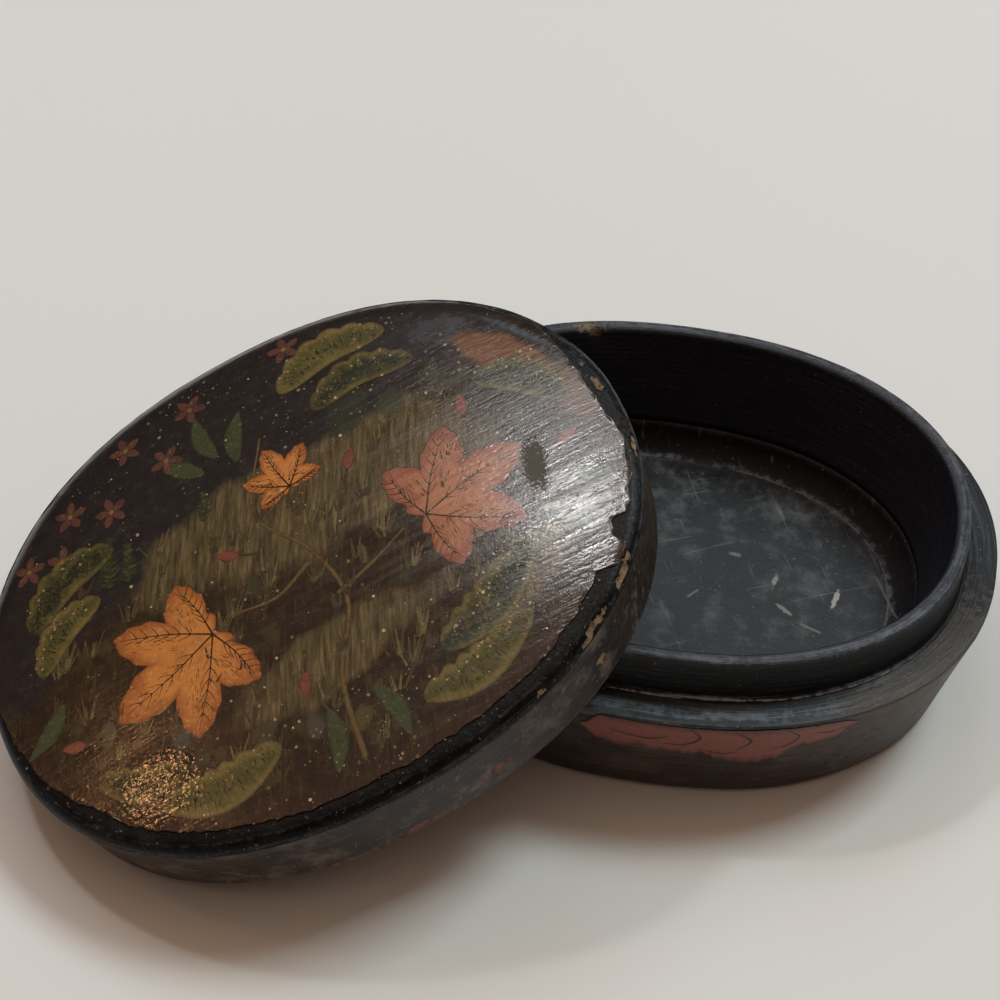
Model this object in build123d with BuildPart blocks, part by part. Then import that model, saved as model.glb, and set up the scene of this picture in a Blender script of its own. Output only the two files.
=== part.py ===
"""Oval papier-mache box: a base with a raised collar, and its lift-off lid leaning on the collar."""

import os
from math import copysign, cos, pi, radians, sin

from build123d import *

os.makedirs("parts", exist_ok=True)

# Outline shared by every piece, in millimetres: a slightly squared oval
box_length = 114.0
box_width = 94.0
oval_power = 2.2
outline_points = 48

# Base: a leaning wall, a dished floor, and a collar that lines the wall and stands above it
wall_height = 24.0
wall_thickness = 6.0
wall_lean = 5.5
foot_round = 2.0
ledge_round = 0.8
floor_thickness = 8.5
dish_depth = 5.0
cove_radius = 4.0
collar_rise = 8.5
collar_thickness = 2.7
bore_lean = 5.0
rim_round = 1.1

# Lid: a skirt that slips over the collar, and a domed panel glued into it
lid_clearance = 0.8
skirt_height = 14.0
skirt_setback = 0.8
skirt_flare = 0.7
skirt_ease = 0.7
bore_overshoot = 1.0
panel_overhang = 0.5
panel_rim = 2.8
panel_round = 2.2
spigot_depth = 1.5
dome_rise = 3.0
dome_steps = 6
dome_crown = 0.06

# How the lid lies when it is off: low edge on the table, raised edge over the collar
lid_bearing = -148.8
lid_overlap = 50.0
lean_heading = -135.0
lid_turn = 168.0
rest_gap = 0.3
most_lean = 60.0
lean_points = 720
lean_halvings = 24

rim_height = wall_height + collar_rise
dish_rim = floor_thickness + dish_depth
collar_inset = wall_thickness + collar_thickness
lid_bore_inset = wall_thickness - lid_clearance
skirt_top_inset = skirt_setback - skirt_flare
panel_inset = skirt_top_inset - panel_overhang
panel_underside = skirt_height - spigot_depth
panel_top = skirt_height + panel_rim


def rounded(value):
    """A cosine or sine raised so that the circle it traces becomes the box's squarer oval."""
    return copysign(abs(value) ** (2 / oval_power), value)


def oval_points(inset, share=1.0, count=outline_points):
    """Points round the oval that lies inset inside the outline, drawn in to a share of its size."""
    half_length = share * (box_length / 2 - inset)
    half_width = share * (box_width / 2 - inset)
    turns = [2 * pi * step / count for step in range(count)]
    return [(half_length * rounded(cos(turn)), half_width * rounded(sin(turn))) for turn in turns]


def draw_oval(inset, share=1.0):
    """Add one oval face to the sketch being drawn."""
    with BuildLine() as outline:
        Spline(*oval_points(inset, share), periodic=True)
    make_face(outline.edges())


def wall_inset(height):
    """How far the wall's outer face stands inside the outline at a height."""
    return wall_lean * (1 - height / wall_height)


def bore_inset(height):
    """How far the inside face of the base stands inside the outline at a height."""
    return collar_inset + bore_lean * (rim_height - height) / (rim_height - floor_thickness)


def oval_reach(inset, x, y):
    """Where a point in plan lies against the oval at an inset: 1 on it, less inside, more outside."""
    along_x = abs(x) / (box_length / 2 - inset)
    along_y = abs(y) / (box_width / 2 - inset)
    return (along_x**oval_power + along_y**oval_power) ** (1 / oval_power)


def base_height(x, y):
    """Height of the base beneath a point of the lid's edge: the collar, the ledge, or the table."""
    if oval_reach(wall_thickness, x, y) < 1:
        return rim_height
    if oval_reach(0, x, y) < 1:
        return wall_height
    return 0.0


def lid_axes(lean):
    """The lid's long, side and upward directions when it is tipped by a lean, in radians."""
    heading = radians(lean_heading)
    turn = radians(lid_turn)
    downhill = (cos(heading) * cos(lean), sin(heading) * cos(lean), -sin(lean))
    across = (-sin(heading), cos(heading), 0)
    upward = (cos(heading) * sin(lean), sin(heading) * sin(lean), cos(lean))
    long_axis = [down * cos(turn) + side * sin(turn) for down, side in zip(downhill, across)]
    side_axis = [side * cos(turn) - down * sin(turn) for down, side in zip(downhill, across)]
    return long_axis, side_axis, upward


def lid_origin(lean):
    """Centre of the skirt's lower edge, at the height that puts its lowest point on the table."""
    bearing_x = cos(radians(lid_bearing))
    bearing_y = sin(radians(lid_bearing))
    distance = 2 / oval_reach(0, bearing_x, bearing_y) - lid_overlap
    long_axis, side_axis, upward = lid_axes(lean)
    heights = []
    for inset, rise in ((skirt_setback + skirt_ease, 0), (skirt_setback, skirt_ease)):
        for x, y in oval_points(inset, count=lean_points):
            heights.append(x * long_axis[2] + y * side_axis[2] + rise * upward[2])
    return distance * bearing_x, distance * bearing_y, -min(heights)


def smallest_gap(lean):
    """Smallest gap between a lid tipped by a lean and the base, at its edge or under its panel."""
    long_axis, side_axis, upward = lid_axes(lean)
    origin = lid_origin(lean)
    gaps = []
    for inset in (skirt_setback, lid_bore_inset):
        for x, y in oval_points(inset, count=lean_points):
            point = [o + x * a + y * b for o, a, b in zip(origin, long_axis, side_axis)]
            beneath = base_height(point[0], point[1])
            if beneath > 0:
                gaps.append(point[2] - beneath)
    for inset in (wall_thickness, collar_inset):
        for x, y in oval_points(inset, count=lean_points):
            arm = (x - origin[0], y - origin[1], rim_height - origin[2])
            along = sum(reach * axis for reach, axis in zip(arm, long_axis))
            aside = sum(reach * axis for reach, axis in zip(arm, side_axis))
            above = sum(reach * axis for reach, axis in zip(arm, upward))
            if oval_reach(lid_bore_inset, along, aside) < 1:
                gaps.append(panel_underside - above)
    return min(gaps)


def resting_lean():
    """The lean at which the lid just rests on the collar, found by halving."""
    low = 0.0
    high = radians(most_lean)
    for _ in range(lean_halvings):
        middle = (low + high) / 2
        if smallest_gap(middle) < rest_gap:
            low = middle
        else:
            high = middle
    return high


lean = resting_lean()
lid_plane = Plane(origin=lid_origin(lean), x_dir=lid_axes(lean)[0], z_dir=lid_axes(lean)[2])
lid_axis = Axis(lid_plane.origin, lid_plane.z_dir)

# --- Base wall: the painted outside, leaning in to its foot, with the ledge on top ----------

with BuildPart() as base_wall:
    with BuildSketch(Plane.XY):
        draw_oval(wall_inset(0))
    with BuildSketch(Plane.XY.offset(wall_height)):
        draw_oval(wall_inset(wall_height))
    loft()
    fillet(base_wall.faces().sort_by(Axis.Z)[0].edges(), foot_round)
    fillet(base_wall.faces().sort_by(Axis.Z)[-1].edges(), ledge_round)
    with BuildSketch(Plane.XY):
        draw_oval(wall_inset(0) + wall_thickness)
    with BuildSketch(Plane.XY.offset(wall_height)):
        draw_oval(wall_inset(wall_height) + wall_thickness)
    loft(mode=Mode.SUBTRACT)

base_wall.part.label = "base_wall"
export_step(base_wall.part, "parts/base_wall.step")

# --- Base floor: a dished panel glued inside the wall, with a cove round its dish -----------

with BuildPart() as base_floor:
    with BuildSketch(Plane.XY):
        draw_oval(wall_inset(0) + wall_thickness)
    with BuildSketch(Plane.XY.offset(dish_rim)):
        draw_oval(wall_inset(dish_rim) + wall_thickness)
    loft()
    with BuildSketch(Plane.XY.offset(floor_thickness)):
        draw_oval(bore_inset(floor_thickness))
    with BuildSketch(Plane.XY.offset(dish_rim)):
        draw_oval(bore_inset(dish_rim))
    loft(mode=Mode.SUBTRACT)
    dish = base_floor.faces().filter_by(Plane.XY).sort_by(Axis.Z)[1]
    fillet(dish.edges(), cove_radius)

base_floor.part.label = "base_floor"
export_step(base_floor.part, "parts/base_floor.step")

# --- Inner collar: lines the wall from the dish up, and stands above the ledge --------------

with BuildPart() as inner_collar:
    with BuildSketch(Plane.XY.offset(dish_rim)):
        draw_oval(wall_inset(dish_rim) + wall_thickness)
    with BuildSketch(Plane.XY.offset(wall_height)):
        draw_oval(wall_inset(wall_height) + wall_thickness)
    loft()
    with BuildSketch(Plane.XY.offset(wall_height)):
        draw_oval(wall_thickness)
    extrude(amount=collar_rise)
    with BuildSketch(Plane.XY.offset(dish_rim)):
        draw_oval(bore_inset(dish_rim))
    with BuildSketch(Plane.XY.offset(rim_height)):
        draw_oval(bore_inset(rim_height))
    loft(mode=Mode.SUBTRACT)
    rim = inner_collar.faces().filter_by(Plane.XY).sort_by(Axis.Z)[-1]
    fillet(rim.edges(), rim_round)

inner_collar.part.label = "inner_collar"
export_step(inner_collar.part, "parts/inner_collar.step")

# --- Lid skirt: the ring that slips over the collar, with its lower edge eased ---------------

with BuildPart() as lid_skirt:
    with BuildSketch(lid_plane):
        draw_oval(skirt_setback + skirt_ease)
    with BuildSketch(lid_plane.offset(skirt_ease)):
        draw_oval(skirt_setback)
    with BuildSketch(lid_plane.offset(skirt_height)):
        draw_oval(skirt_top_inset)
    loft(ruled=True)
    with BuildSketch(lid_plane.offset(-bore_overshoot)):
        draw_oval(lid_bore_inset)
    extrude(amount=skirt_height + 2 * bore_overshoot, mode=Mode.SUBTRACT)

lid_skirt.part.label = "lid_skirt"
export_step(lid_skirt.part, "parts/lid_skirt.step")

# --- Lid panel: a domed top with a rounded edge, and a spigot glued into the skirt ----------

with BuildPart() as lid_panel:
    for step in range(dome_steps + 1):
        share = 1 - (1 - dome_crown) * step / dome_steps
        with BuildSketch(lid_plane.offset(panel_top + dome_rise * (1 - share**2))):
            draw_oval(panel_inset, share)
    loft()
    with BuildSketch(lid_plane.offset(skirt_height)):
        draw_oval(panel_inset)
    extrude(amount=panel_rim)
    underside_edge, side_seam, rim_edge = lid_panel.edges().group_by(lid_axis)[:3]
    fillet(rim_edge, panel_round)
    with BuildSketch(lid_plane.offset(panel_underside)):
        draw_oval(lid_bore_inset)
    extrude(amount=spigot_depth)

lid_panel.part.label = "lid_panel"
export_step(lid_panel.part, "parts/lid_panel.step")
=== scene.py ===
"""An oval papier-mache keepsake box with its lid off, old black lacquer and a painted lid."""

import random
from functools import partial
from itertools import accumulate
from math import atan2, ceil, copysign, cos, degrees, hypot, pi, radians, sin, sqrt, tau

import bmesh
import bpy
import numpy as np
from mathutils import Matrix, Vector, noise


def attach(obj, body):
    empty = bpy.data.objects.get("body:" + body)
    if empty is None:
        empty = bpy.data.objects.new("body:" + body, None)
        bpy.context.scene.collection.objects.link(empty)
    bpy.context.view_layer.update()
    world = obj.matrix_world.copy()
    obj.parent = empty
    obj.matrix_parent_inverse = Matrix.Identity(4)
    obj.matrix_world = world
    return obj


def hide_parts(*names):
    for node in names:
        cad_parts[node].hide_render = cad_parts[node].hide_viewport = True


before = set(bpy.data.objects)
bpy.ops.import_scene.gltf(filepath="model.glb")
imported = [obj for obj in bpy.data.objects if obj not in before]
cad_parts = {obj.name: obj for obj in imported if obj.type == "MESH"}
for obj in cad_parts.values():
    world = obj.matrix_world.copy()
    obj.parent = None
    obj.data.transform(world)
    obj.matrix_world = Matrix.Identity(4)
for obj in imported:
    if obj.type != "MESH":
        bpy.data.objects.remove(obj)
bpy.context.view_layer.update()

MM = 0.001                     # this script's shapes are in millimetres, the scene is in metres

# ---- sizes, in mm, as the solids have them
HALF_LENGTH, HALF_WIDTH, OVAL_POWER = 57, 47, 2.2
WALL_HEIGHT, WALL_THICKNESS, WALL_LEAN = 24, 6, 5.5
FOOT_ROUND, LEDGE_ROUND = 2, 0.8
FLOOR_TOP, DISH_RIM, DISH_RIM_INSET, FLOOR_COVE, FLOOR_LEAN_INSET = 8.5, 13.5, 12.6, 4, 13.7
RIM_HEIGHT, COLLAR_OUTER, COLLAR_INNER, RIM_ROUND, COLLAR_COVE = 32.5, 6, 8.7, 1.1, 0.7
SKIRT_HEIGHT, SKIRT_TOP_INSET, SKIRT_FOOT_INSET, SKIRT_BORE = 14, 0.1, 0.8, 5.2
PANEL_INSET, PANEL_TOP, PANEL_ROUND, PANEL_TUCK, DOME_RISE = -0.4, 16.8, 2.2, 0.9, 3
SPIGOT_FOOT = 12.5

# ---- where the leaning lid lies
LID_ORIGIN = Vector((-51.8386, -31.3945, 21.7538))
LID_LONG = Vector((0.783283, 0.489251, 0.383539))
LID_UP = Vector((-0.277262, -0.277262, 0.919920))
LID_SIDE = LID_UP.cross(LID_LONG).normalized()

# ---- camera
CAMERA_PLACE = Vector((15.78, -293.16, 317.71))
CAMERA_RIGHT = Vector((0.98104, 0.1904, 0.03626))
CAMERA_DOWN = Vector((0.16003, -0.69019, -0.70571))
CAMERA_AHEAD = Vector((-0.10934, 0.69813, -0.70757))
LENS_MM, SENSOR_MM = 85.64, 36

# ---- light: directions, sizes in metres, watts
ROOM_LOW, ROOM_HIGH = (0.05, 0.035, 0.028, 1), (0.82, 0.56, 0.41, 1)
BACKDROP = "#CFCBC4"
LAMPS = (("window", (0.372, 0.335, 0.866), 1.7, 0.50, 14.8, "#EAFCFF"),
         ("back_wall", (-0.17, 0.60, 0.78), 1.7, 0.75, 4, "#CCE6FF"),
         ("panel", (-0.392, 0.205, 0.897), 1.5, 0.10, 2.3, "#FFFFFF"),
         ("pale_blind", (-0.40, 0.315, 0.861), 1.5, 0.30, 1.4, "#FFFFFF"),
         ("warm_lamp", (-0.735, -0.08, 0.673), 1.2, 0.055, 0.36, "#FFB478"))

# ---- the worn far side of the lid's rim, in mm
FAR_SET_BACK, FAR_ROLL, FAR_ROLL_DEPTH, FAR_SAG = 1, 2.6, 0.3, 0.5

# ---- the painted film on the lid, in mm
GROUND_DROP, FILM_THICKNESS = 0.15, 0.11
UPRIGHT = 68                 # which way is up in the picture, in degrees from the lid's length
GLITTER = ((-35, -27, 18), 8, 6.4, 0)    # where the varnish is smooth and grainy: place, half sizes, turn
BARE_PLACE = ((40.2, -7.5, 17), 4.4, 1.7, 74)  # where film and varnish have flaked off
BARE_RAGGED, BARE_ROUGHNESS, GLITTER_ROUGHNESS = 1.5, 0.5, 0.07
VARNISH_SMOOTH, VARNISH_DULL, VARNISH_SHINE = 0.12, 0.24, 0.42
STREAK_DEPTH, DASH_DEPTH, GRIT_DEPTH, GLITTER_DEPTH, CRACKLE_DEPTH = 0.035, 0.024, 0.012, 0.03, 0.015
SPECK_LIFT, SPECK_DENSITY, SMALLEST_SPECK, LARGEST_SPECK = 0.03, 400000.0, 0.06, 0.34
# painted places on the ground: centre, half length and width in mm, turn in degrees, raggedness, colour
GROUND_PATCHES = (((8, 7, 18), 30, 10, -4, 0.9, None), ((-2, -22, 18), 19, 5, 8, 1, None),
                  ((30, -24, 17), 9, 5, 20, 0.9, None),
                  ((44.5, 16, 17), 8, 3, -56, 1.3, "#6E4526"),
                  ((51, 3, 16), 7, 2.4, -78, 1.3, "#5E4434"))
LATE_PATCHES = (((37, 27, 17), 4.6, 2.6, -20, 1.6, "#35363B"),
                ((36.4, 26.6, 17), 2, 1.4, -20, 1.6, "#202226"),
                ((-29, -21.5, 18), 2.4, 1.2, 60, 2.4, "#353C38"),
                ((-17, -28, 18), 2.4, 1.6, 20, 1.4, "#3E3A26"),
                ((-9, -31, 18), 1.9, 1.3, 80, 1.4, "#453E36"),
                ((-22, -31.5, 18), 2.2, 1.5, 75, 1.5, "#36402C"),
                ((-2, -34, 18), 2.4, 1.4, 40, 1.5, "#4C4426"),
                ((22, -34, 18), 2, 1.4, 60, 1.5, "#5A3A30"),
                ((-40, -14, 18), 2.2, 1.2, 70, 1.4, "#44402C"),
                ((17, 20, 19), 5, 3.2, 68, 1.2, "#22281C"),
                ((24, 17, 19), 3, 2, 68, 1.4, "#2C3020"))

# ---- brush marks in the lacquer
SLOW_BRUSH, QUICK_BRUSH = 0.055, 2.1   # how fast the streaks change along the brush and across it
FRAY_MM = 1.2                  # how far the edges of its bands wander
BROKEN_BAND = 2.6              # bands narrower than this are rubbed through in places

# ---- wear
MM_A_DEGREE = 0.84             # run of the box's front wall for one degree of turn
# where the film's edge is torn and pale, partly a painted highlight: turn and reach in degrees, strength
TORN_AND_LIT_PLACES = ((328, 4.5, 1), (334, 5, 0.7), (217, 9, 0.85), (205, 6, 0.4), (10, 10, 0.6), (25, 8, 0.45),
               (312, 6, 0.5), (128, 5, 0.6), (45, 4, 0.5), (290, 14, 0.3), (255, 16, 0.3), (350, 6, 0.4))
# chips: turn in degrees, inset and height, half length, half width and depth in mm, what shows in them
RIM_MARKS = ((1.5, 1.7, 16.3, 2.6, 0.7, 0.30, "bare"), (6, 1.9, 16.4, 1.6, 0.5, 0.25, "bare"),
             (347.5, 0.2, 15.6, 2.6, 0.55, 0.35, "bare"), (351.5, 0.8, 16.2, 2, 0.9, 0.25, "dark"),
             (318.5, -0.1, 15.7, 3.4, 0.7, 0.30, "bare"), (322, 0.2, 16, 1.4, 0.5, 0.25, "bare"),
             (307.5, 0.2, 15.8, 3, 0.6, 0.25, "bare"), (304.8, -0.3, 15.2, 1.8, 0.5, 0.2, "bare"),
             (129, 1.6, 16.1, 2.4, 0.8, 0.25, "bare"), (44, 1.2, 15.7, 1.6, 0.6, 0.2, "bare"),
             (20.5, 1.5, 16, 1.2, 0.5, 0.2, "bare"), (214, 1.6, 16.5, 1.8, 0.5, 0.2, "dark"),
             (293, -0.2, 15.4, 1.4, 0.4, 0.2, "bare"))
# lid wall marks: turn in degrees, height, half length, half width and depth in mm, what shows in them; the two broad
# "dark" marks of no depth, at turns 338 and 318, are painted shade over the lid wall's right end
SKIRT_MARKS = ((305.6, 6.8, 1.7, 1.2, 0.15, "bare"), (281, 4.8, 2.6, 1.6, 0.05, "raw"),
               (269, 1.2, 7.5, 1.4, 0.05, "raw"), (258, 1, 4.5, 1.1, 0.05, "raw"),
               (338, 8, 20, 14, 0, "dark"), (318, 11.5, 7, 3, 0, "dark"),
               (247, 5, 2, 0.6, 0.05, "raw"), (110, 3, 5, 1, 0.05, "raw"),
               (60, 6, 3, 0.9, 0.05, "raw"), (170, 2.5, 4, 0.8, 0.05, "raw"))
FILM_EDGE = ((0, 3), (8, 3.1), (20, 1.8), (45, 1.3), (90, 1.1), (128, 1.9), (135, 1.2), (180, 1.6), (200, 2.6),
             (214, 3.7), (222, 2.9), (235, 3), (270, 2.8), (300, 2.9), (311, 3.5), (317.5, 3.2), (320, 1.2),
             (324, 1), (326.5, 3.6), (330, 3.9), (331.5, 1.7), (341, 1.4), (349, 1.5), (352, 1.9), (357, 2.9),
             (360, 3))
WALL_NICKS = ((276, 23.6, 1.6, 0.35), (288, 23.7, 2.2, 0.3), (266, 23.5, 1.2, 0.4), (300, 23.6, 1.4, 0.3))
COLLAR_CHIP = ((-21.1, 36.2, 31.9), (0.97, 0.22, 0), 3.2, 1.2, 0.35, "bare")
# pale scuffs inside: centre, half length and width in mm, turn in degrees, colour
FLOOR_SCUFFS = (((30.8, 0.8, 8.5), 2, 0.42, 78, "#8E8C84"), ((19.8, 3.2, 8.5), 1.3, 0.4, 82, "#76756F"),
                ((22.3, -3.6, 8.5), 1.9, 0.34, -35, "#6A6A66"), ((12, 8, 8.5), 1, 0.4, 0, "#565855"),
                ((27.5, -7, 8.5), 1.7, 0.3, -20, "#585A58"), ((6, -3, 8.5), 1.4, 0.3, 50, "#525553"))

# ---- the design, in mm on the lid, turns in degrees
GRASS_BLADES, TUFTS = 130, 96
# a lobe of a chinar leaf: its turn, its share of the leaf's size, half its spread
CHINAR = ((0, 1, 32), (54, 0.92, 30), (-54, 0.92, 30), (108, 0.76, 31), (-108, 0.76, 31))
# stems: points, half width, how much thinner at the end, points along it
STEMS = (([(-4, -40), (-2, -26), (4, -14), (2, -2), (-4, 10), (2, 24)], 0.55, 0.35, 48),
         ([(3, -12), (10, -10), (17, -7)], 0.42, 0.2, 16), ([(1, -4), (-6, -7), (-13, -6)], 0.42, 0.2, 16),
         ([(-3, 8), (6, 13), (16, 15)], 0.35, 0.2, 16))
# big leaves: piece, centre, size, heading
BIG_LEAVES = (("orange_leaves", (-21, -8), 17.5, 196), ("terracotta_leaves", (24, -6), 16.5, 12),
              ("orange_leaves", (3, 13), 8.5, 100))
# comb leaves: piece, half width, three points along it
COMB_LEAVES = (("olive_comb_leaves", 3.6, (-46, 12), (-38, 18), (-28, 19)),
               ("ochre_comb_leaves", 3, (-47, 3), (-41, 9), (-33, 11)),
               ("ochre_comb_leaves", 3.6, (8, 31), (18, 35), (29, 33)),
               ("olive_comb_leaves", 3.2, (12, 24), (21, 27), (31, 24)),
               ("olive_comb_leaves", 3.8, (14, -30), (24, -27), (34, -20)),
               ("ochre_comb_leaves", 3.3, (8, -36), (18, -36), (29, -31)),
               ("ochre_comb_leaves", 3.6, (-36, -30), (-26, -33), (-15, -31)),
               ("olive_comb_leaves", 2.8, (-44, -20), (-38, -25), (-30, -26)),
               ("olive_comb_leaves", 3.4, (38, 14), (45, 10), (50, 2)))
# cypresses: foot, height, half width
CYPRESSES = (((-31, 12), 9.5, 2.6), ((-27.5, 11), 7.5, 2.2), ((31, 13.5), 8.5, 2.8), ((-1.5, -40), 6.5, 1.7),
             ((-12, 14), 6, 1.6))
# narrow leaves and buds: x, y, heading
NARROW_LEAVES = ((-6, 25, 95), (-9, 23, 125), (-3, 22, 70), (2, -30, -80), (-6, -30, -105), (42, -12, -30),
                 (38, -15, -60), (-45, -4, 215))
BUDS = ((13, 9, 60), (-9, 4, 150), (34, -14, 200), (-7, -22, 250), (45, -6, 20), (-44, -13, 160), (34, 8, 80))
FLOWERS = ((-33, 30), (-20, 37), (-7, 38), (-43, 24), (-26, 26), (-14, 30), (-37, 22), (12, 40))
# the curls on the side wall: mm along the wall and up it
SIDE_CURLS = ([(7, 22.8), (8.6, 20), (6.8, 17.4), (4.2, 17)], [(13, 22.4), (15.6, 19.5), (14, 16.4)],
              [(20.6, 22.4), (22.6, 20), (21.2, 17.2), (19, 16.6)], [(-2, 19), (2, 18), (4.6, 19.6)],
              [(25, 20.6), (28, 19.8), (30.2, 20.8)], [(9.6, 16), (12, 15), (14, 15.6)])
# the pots of tempera: piece, finish, colours in its middle, over its body and at its edge, and what else it has
PIGMENTS = (
    ("grass_strokes", "grass, thin ochre tempera", "#5A4C2E", "#473A23", "#33291A", {}),
    ("light_touches", "light touches, olive tempera", "#6C6238", "#554C2C", "#3C3520", {}),
    ("grass_tips", "grass tips, pale ochre tempera", "#958358", "#746542", "#52462E", {"rubbed_tone": "#A89468"}),
    ("dark_hatching", "hatching, green-black tempera", "#1A1C10", "#171810", "#12120C", {}),
    ("comb_dots", "dots, cream tempera", "#A8986E", "#8A7C58", "#6A5E42", {"rubbed_tone": "#B8A880"}),
    ("stem_strokes", "stems, brown-olive tempera", "#5E4A2C", "#463620", "#2C2014", {}),
    ("orange_leaves", "leaves, orange tempera", "#B87436", "#A05E2B", "#7A3F1D",
     {"outline": "#3A2014", "rubbed_tone": "#C8A878"}),
    ("terracotta_leaves", "leaves, terracotta tempera", "#9E6444", "#8C5038", "#6C3A29", {"outline": "#32190F"}),
    ("olive_comb_leaves", "comb leaves, dark olive tempera", "#1C2414", "#36381E", "#6A5C30",
     {"outline": "#2A2112", "ribs": 22}),
    ("ochre_comb_leaves", "comb leaves, ochre olive tempera", "#42401E", "#5A5026", "#74643A",
     {"outline": "#2E2413", "ribs": 20}),
    ("green_leaves", "narrow leaves, green tempera", "#363E26", "#2C3420", "#222818", {}),
    ("russet_flowers", "small flowers, russet tempera", "#54332B", "#462A25", "#36201D", {}),
    ("red_buds", "buds, red tempera", "#6E3A2E", "#5C2C22", "#3E1E17", {}),
    ("flower_hearts", "flower hearts, ochre tempera", "#7A5C34", "#6A4E2C", "#4C3820", {}),
    ("drawn_lines", "drawn lines, brown ink", "#2E1A10", "#2E1A10", "#28160E", {}))


# ======== small helpers
def paint(hex_colour):
    """An sRGB hex colour as the linear RGBA that the shaders want."""
    channels = [int(hex_colour[i:i + 2], 16) / 255 for i in (1, 3, 5)]
    return tuple(c / 12.92 if c <= 0.04045 else ((c + 0.055) / 1.055) ** 2.4 for c in channels) + (1,)


def node(tree, kind, *values, ramp=None, out=0, **named):
    """Adds one node and gives back one of its outputs.

    The values go into its sockets in order, None leaves one alone. A capitalised name is a socket's too, any other
    name is a setting's. A kind in capitals is a Math node's operation, and any other kind without "Node" in it is
    a shader node."""
    if kind.isupper():
        kind, named["operation"] = "Math", kind
    made = tree.nodes.new(kind if "Node" in kind else "ShaderNode" + kind)
    sockets = dict(enumerate(values))
    for name, value in named.items():
        if name[0].isupper():
            sockets[name] = value
        else:
            setattr(made, name, value)
    for socket, value in sockets.items():
        if isinstance(value, bpy.types.NodeSocket):
            tree.links.new(value, made.inputs[socket])
        elif value is not None:
            made.inputs[socket].default_value = value
    if ramp:
        stops = made.color_ramp.elements
        while len(stops) < len(ramp):
            stops.new(0.5)
        for stop, (place, colour) in zip(stops, ramp):
            stop.position, stop.color = place, paint(colour)
    return made.outputs[out] if made.outputs else made


def rounded(value):
    return copysign(abs(value) ** (2 / OVAL_POWER), value)


def oval(turn, inset=0):
    """A point of the box's oval outline; turn in radians, inset in mm."""
    return ((HALF_LENGTH - inset) * rounded(cos(turn)), (HALF_WIDTH - inset) * rounded(sin(turn)))


def on_base(x, y, z):
    return Vector((x, y, z))


def on_lid(x, y, z):
    return LID_ORIGIN + LID_LONG * x + LID_SIDE * y + LID_UP * z


def ease(value, low, high):
    """0 below low, 1 above high, smooth between."""
    t = min(max((value - low) / (high - low), 0), 1)
    return t * t * (3 - 2 * t)


def far_side(turn):
    """1 along the lid's far, more worn side, 0 along its near side; turn in degrees."""
    return ease(turn % 360, 2, 26) * (1 - ease(turn % 360, 138, 174))


def edge_of(far):
    """The rounded rim of the lid's panel: how far in its side stands, how wide and how deep it rolls, in mm."""
    return PANEL_INSET + FAR_SET_BACK * far, PANEL_ROUND + FAR_ROLL * far, PANEL_ROUND + FAR_ROLL_DEPTH * far


def where_on_oval(x, y):
    """The turn in degrees and the inset in mm of a point of the lid's plane."""
    share = max((abs(x / HALF_LENGTH) ** OVAL_POWER + abs(y / HALF_WIDTH) ** OVAL_POWER) ** (1 / OVAL_POWER), 1e-6)
    inset = (1 - share) * hypot(x, y) / share
    for _ in range(3):
        long, wide = HALF_LENGTH - inset, HALF_WIDTH - inset
        if wide < 2:
            break
        share = (abs(x / long) ** OVAL_POWER + abs(y / wide) ** OVAL_POWER) ** (1 / OVAL_POWER)
        inset += (1 - share) * hypot(x, y) / max(share, 1e-6)
    long, wide = max(HALF_LENGTH - inset, 1), max(HALF_WIDTH - inset, 1)
    half_power = OVAL_POWER / 2
    turn = degrees(atan2(copysign(abs(y / wide) ** half_power, y),
                                   copysign(abs(x / long) ** half_power, x))) % 360
    return turn, inset


def dome_height(x, y, turn=None, inset=None):
    """Height of the lid's domed top above the skirt's lower edge, with its rolled rim."""
    share = (abs(x / HALF_LENGTH) ** OVAL_POWER + abs(y / HALF_WIDTH) ** OVAL_POWER) ** (1 / OVAL_POWER)
    height = PANEL_TOP + DOME_RISE * (1 - min(share, 1) ** 2)
    if share > 0.7:
        if turn is None:
            turn, inset = where_on_oval(x, y)
        far = far_side(turn)
        height -= FAR_SAG * far * ((share - 0.7) / 0.3) ** 2
        side, wide, deep = edge_of(far)
        run = min(max((inset - side) / wide, 0), 1)
        height -= deep * (1 - sqrt(1 - (1 - run) ** 2))
    return height


def soften(corners, closed, longest=1.3, bends=5):
    """Rounds a cross-section's corners (share, inset, height, cut) and divides its long runs."""
    points = []
    count = len(corners)
    for i, (share, inset, height, cut) in enumerate(corners):
        here = Vector((share, inset, height))
        if not cut:
            points.append(here)
            continue
        before = Vector(corners[i - 1][:3])
        after = Vector(corners[(i + 1) % count][:3])
        start = here.lerp(before, min(cut / max((before - here).length, 1e-6), 0.5))
        end = here.lerp(after, min(cut / max((after - here).length, 1e-6), 0.5))
        for k in range(bends + 1):
            t = k / bends
            points.append(start.lerp(here, t).lerp(here.lerp(end, t), t))
    divided = []
    for i, point in enumerate(points):
        divided.append(point)
        if i == len(points) - 1 and not closed:
            break
        ahead = points[(i + 1) % len(points)]
        reach = hypot((ahead.x - point.x) * HALF_WIDTH, ahead.y - point.y, ahead.z - point.z)
        parts = ceil(reach / longest)
        divided += [point.lerp(ahead, k / parts) for k in range(1, parts)]
    return [tuple(point) for point in divided]


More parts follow.
